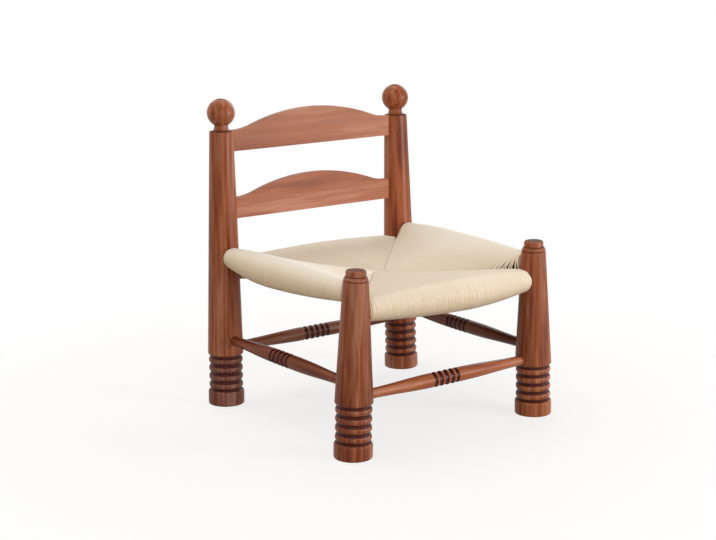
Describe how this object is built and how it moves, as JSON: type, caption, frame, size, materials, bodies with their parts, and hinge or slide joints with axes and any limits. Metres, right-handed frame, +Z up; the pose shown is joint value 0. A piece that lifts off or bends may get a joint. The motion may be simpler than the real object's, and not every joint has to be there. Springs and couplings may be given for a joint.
{
  "type": "chair",
  "caption": "Low side chair with turned ringed posts, ball finials, arched back slats and turned stretchers, and a seat wound in paper cord over hidden rails.",
  "frame": {"origin": "on the floor, at the middle of the chair's overall box", "axes": "+Z up, the front of the chair towards -Y, +X to the right of someone who faces the chair"},
  "size_m": [0.6134, 0.5886, 0.7197],
  "materials": {
    "stained_wood": "satin",
    "paper_cord": "matte",
    "packing_card": "matte",
    "tack_steel": "satin"
  },
  "bodies": {
    "root": {"front_left_post": "stained_wood", "front_right_post": "stained_wood", "rear_left_post": "stained_wood", "rear_right_post": "stained_wood", "front_stretcher": "stained_wood", "rear_stretcher": "stained_wood", "left_stretcher": "stained_wood", "right_stretcher": "stained_wood", "upper_back_slat": "stained_wood", "lower_back_slat": "stained_wood", "front_seat_rail": "stained_wood", "rear_seat_rail": "stained_wood", "left_seat_rail": "stained_wood", "right_seat_rail": "stained_wood", "front_seat_weave": "paper_cord", "rear_seat_weave": "paper_cord", "left_seat_weave": "paper_cord", "right_seat_weave": "paper_cord", "front_seat_packing": "packing_card", "rear_seat_packing": "packing_card", "left_seat_packing": "packing_card", "right_seat_packing": "packing_card", "cord_tacks": "tack_steel"}
  },
  "joints": []
}
